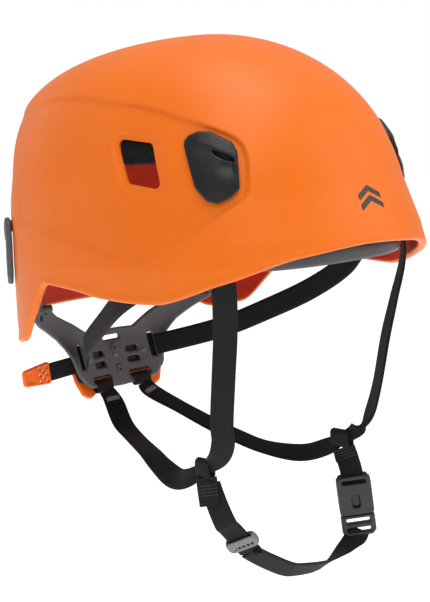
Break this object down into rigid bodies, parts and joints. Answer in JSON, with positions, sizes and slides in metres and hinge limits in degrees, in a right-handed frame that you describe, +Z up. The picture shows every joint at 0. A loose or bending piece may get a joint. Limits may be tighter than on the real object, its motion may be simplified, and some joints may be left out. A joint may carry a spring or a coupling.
{
  "type": "arborist helmet",
  "caption": "Climbing and tree-work helmet with foam crown, webbing harness, nape cradle, lamp clips and side-release chin strap buckle.",
  "frame": {"origin": "middle of the wearer's head at the level of the front rim and headband", "axes": "+Z up through the crown, -Y is the way the wearer faces, -X the wearer's right"},
  "size_m": [0.2202, 0.2802, 0.353],
  "materials": {
    "shell": "satin",
    "foam": "matte",
    "pad_fabric": "woven",
    "grey_plastic": "satin",
    "black_plastic": "satin",
    "clip_plastic": "satin",
    "cradle_plastic": "satin",
    "orange_plastic": "satin",
    "steel": "brushed",
    "webbing": "woven"
  },
  "bodies": {
    "helmet": {"outer_shell": "shell", "crown_liner": "foam", "crown_pad": "pad_fabric", "front_headband": "grey_plastic", "forehead_pad": "pad_fabric", "headband_studs": "black_plastic", "nape_pivot_pins": "black_plastic", "buckle_socket": "black_plastic", "chin_strap": "webbing", "buckle_strap": "webbing", "front_strap_right": "webbing", "rear_strap_right": "webbing", "headband_strap_right": "webbing", "junction_loop_right": "webbing", "strap_anchor_right": "black_plastic", "front_strap_left": "webbing", "rear_strap_left": "webbing", "headband_strap_left": "webbing", "junction_loop_left": "webbing", "strap_anchor_left": "black_plastic"},
    "nape": {"nape_cradle": "cradle_plastic", "nape_cover": "orange_plastic", "nape_rivets": "steel", "rear_strap_end_right": "webbing", "rear_strap_end_left": "webbing", "headband_strap_end_right": "webbing", "headband_strap_end_left": "webbing", "rear_strap_loop_right": "webbing", "rear_strap_loop_left": "webbing"},
    "pull": {"pull_strap": "webbing", "pull_tab": "orange_plastic"},
    "keeper": {"strap_keeper": "grey_plastic"},
    "plug": {"buckle_plug": "black_plastic", "chin_strap_end": "webbing"},
    "prong_rear": {"buckle_prong_rear": "black_plastic"},
    "prong_front": {"buckle_prong_front": "black_plastic"},
    "clip_front_right": {"lamp_clip_front_right": "clip_plastic"},
    "clip_front_left": {"lamp_clip_front_left": "clip_plastic"},
    "clip_rear_right": {"lamp_clip_rear_right": "clip_plastic"},
    "clip_rear_left": {"lamp_clip_rear_left": "clip_plastic"}
  },
  "joints": [
    {"name": "nape_tilt", "type": "hinge", "parent": "helmet", "child": "nape", "pos_m": [0, 0.106, -0.05], "axis": [1, 0, 0], "range_deg": [-8, 8]},
    {"name": "lamp_clip_front_right_lift", "type": "hinge", "parent": "helmet", "child": "clip_front_right", "pos_m": [-0.07055, -0.08116, 0.0655], "axis": [-0.7547, 0.6561, 0], "range_deg": [0, 8], "stiffness_Nm_per_rad": 0.6},
    {"name": "lamp_clip_front_left_lift", "type": "hinge", "parent": "helmet", "child": "clip_front_left", "pos_m": [0.07055, -0.08116, 0.0655], "axis": [-0.7547, -0.6561, 0], "range_deg": [0, 8], "stiffness_Nm_per_rad": 0.6},
    {"name": "lamp_clip_rear_right_lift", "type": "hinge", "parent": "helmet", "child": "clip_rear_right", "pos_m": [-0.08822, 0.10329, 0.014], "axis": [0.7604, 0.6494, 0], "range_deg": [0, 8], "stiffness_Nm_per_rad": 0.6},
    {"name": "lamp_clip_rear_left_lift", "type": "hinge", "parent": "helmet", "child": "clip_rear_left", "pos_m": [0.08822, 0.10329, 0.014], "axis": [0.7604, -0.6494, 0], "range_deg": [0, 8], "stiffness_Nm_per_rad": 0.6},
    {"name": "pull_tab_slide", "type": "slide", "parent": "nape", "child": "pull", "axis": [-0.9975, 0, -0.0702], "range_m": [0, 0.018]},
    {"name": "keeper_slide", "type": "slide", "parent": "helmet", "child": "keeper", "axis": [0.6536, 0.022, -0.7565], "range_m": [-0.008, 0.004]},
    {"name": "buckle_release", "type": "slide", "parent": "helmet", "child": "plug", "axis": [0.1, 0, -0.995], "range_m": [0, 0.022]},
    {"name": "prong_rear_press", "type": "hinge", "parent": "plug", "child": "prong_rear", "pos_m": [0.0591, -0.04459, -0.19816], "axis": [0.6486, 0.7583, 0.0652], "range_deg": [0, 5], "stiffness_Nm_per_rad": 0.05},
    {"name": "prong_front_press", "type": "hinge", "parent": "plug", "child": "prong_front", "pos_m": [0.07162, -0.05541, -0.1969], "axis": [-0.6486, -0.7583, -0.0652], "range_deg": [0, 5], "stiffness_Nm_per_rad": 0.05}
  ]
}
